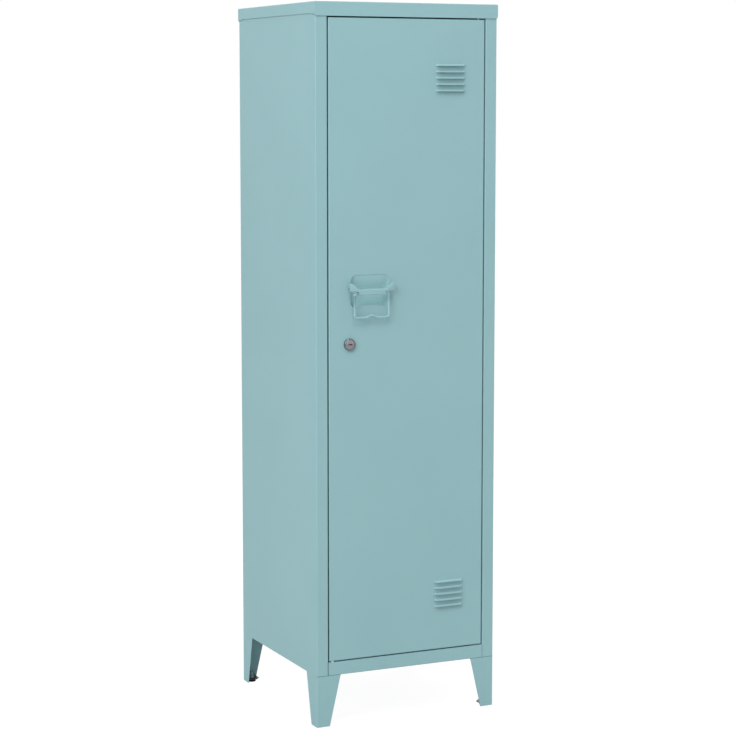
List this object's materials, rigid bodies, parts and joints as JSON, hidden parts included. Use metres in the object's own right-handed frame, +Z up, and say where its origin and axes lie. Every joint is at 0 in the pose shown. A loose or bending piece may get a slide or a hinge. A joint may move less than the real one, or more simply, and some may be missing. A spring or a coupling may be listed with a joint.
{
  "type": "single locker",
  "caption": "Tall narrow steel locker with one flush hinged door, louvres, a drop handle in a pressed hollow, a cam lock, inner shelves and tapered legs on levelling feet.",
  "frame": {"origin": "at floor level under the middle of the locker's overall box, handle included", "axes": "+Z up; the door and handle face -Y; +X to the right of someone facing the door, which is the hinge side"},
  "size_m": [0.381, 0.3936, 1.37],
  "materials": {
    "paint": "fine-textured satin powder coat, pale blue-green",
    "zinc_plate": "bright zinc-plated steel",
    "lock_rim": "bright nickel-plated rim",
    "lock_face": "dull nickel-plated plug, slightly warm",
    "black_steel": "black painted steel",
    "black_nylon": "black moulded nylon",
    "white_nylon": "white moulded nylon",
    "black_rubber": "soft black rubber"
  },
  "bodies": {
    "cabinet": {"top_cap": "paint", "left_side": "paint", "right_side": "paint", "back_panel": "paint", "base_pan": "paint", "lower_shelf": "paint", "middle_shelf": "paint", "upper_shelf": "paint", "front_left_upright": "paint", "front_right_upright": "paint", "rear_left_upright": "paint", "rear_right_upright": "paint", "shelf_clips": "zinc_plate", "front_left_leg": "paint", "front_right_leg": "paint", "rear_left_leg": "paint", "rear_right_leg": "paint", "front_left_foot_plate": "black_steel", "front_right_foot_plate": "black_steel", "rear_left_foot_plate": "black_steel", "rear_right_foot_plate": "black_steel", "foot_nuts": "black_steel", "leg_bolts": "zinc_plate", "leg_nuts": "zinc_plate", "cap_studs": "zinc_plate", "cap_nuts": "zinc_plate", "back_screws": "zinc_plate", "upper_hinge_bush": "white_nylon", "lower_hinge_bush": "white_nylon", "door_rest_pad": "white_nylon", "door_buffers": "black_rubber"},
    "door": {"door_skin": "paint", "door_stiffener": "paint", "upper_hinge_bracket": "zinc_plate", "lower_hinge_bracket": "zinc_plate", "upper_hinge_pin": "paint", "lower_hinge_pin": "paint", "handle_bracket": "paint", "handle_screws": "zinc_plate", "lock_barrel": "lock_rim", "lock_nut": "zinc_plate"},
    "handle": {"handle_bail": "paint"},
    "lock_core": {"lock_plug": "lock_face", "lock_cam": "zinc_plate", "cam_screw": "zinc_plate"},
    "front_left_foot": {"front_left_foot": "black_nylon"},
    "front_right_foot": {"front_right_foot": "black_nylon"},
    "rear_left_foot": {"rear_left_foot": "black_nylon"},
    "rear_right_foot": {"rear_right_foot": "black_nylon"}
  },
  "joints": [
    {"name": "door_hinge", "type": "hinge", "parent": "cabinet", "child": "door", "pos_m": [0.152, -0.17675, 0.7341], "axis": [0, 0, 1], "range_deg": [0, 110]},
    {"name": "handle_pivot", "type": "hinge", "parent": "door", "child": "handle", "pos_m": [-0.078, -0.19275, 0.8295], "axis": [-1, 0, 0], "range_deg": [-6, 90]},
    {"name": "lock_turn", "type": "hinge", "parent": "door", "child": "lock_core", "pos_m": [-0.1207, -0.17475, 0.7328], "axis": [0, 1, 0], "range_deg": [0, 90]},
    {"name": "front_left_foot_screw", "type": "slide", "parent": "cabinet", "child": "front_left_foot", "axis": [0, 0, -1], "range_m": [-0.001, 0.01]},
    {"name": "front_right_foot_screw", "type": "slide", "parent": "cabinet", "child": "front_right_foot", "axis": [0, 0, -1], "range_m": [-0.001, 0.01]},
    {"name": "rear_left_foot_screw", "type": "slide", "parent": "cabinet", "child": "rear_left_foot", "axis": [0, 0, -1], "range_m": [-0.001, 0.01]},
    {"name": "rear_right_foot_screw", "type": "slide", "parent": "cabinet", "child": "rear_right_foot", "axis": [0, 0, -1], "range_m": [-0.001, 0.01]}
  ]
}
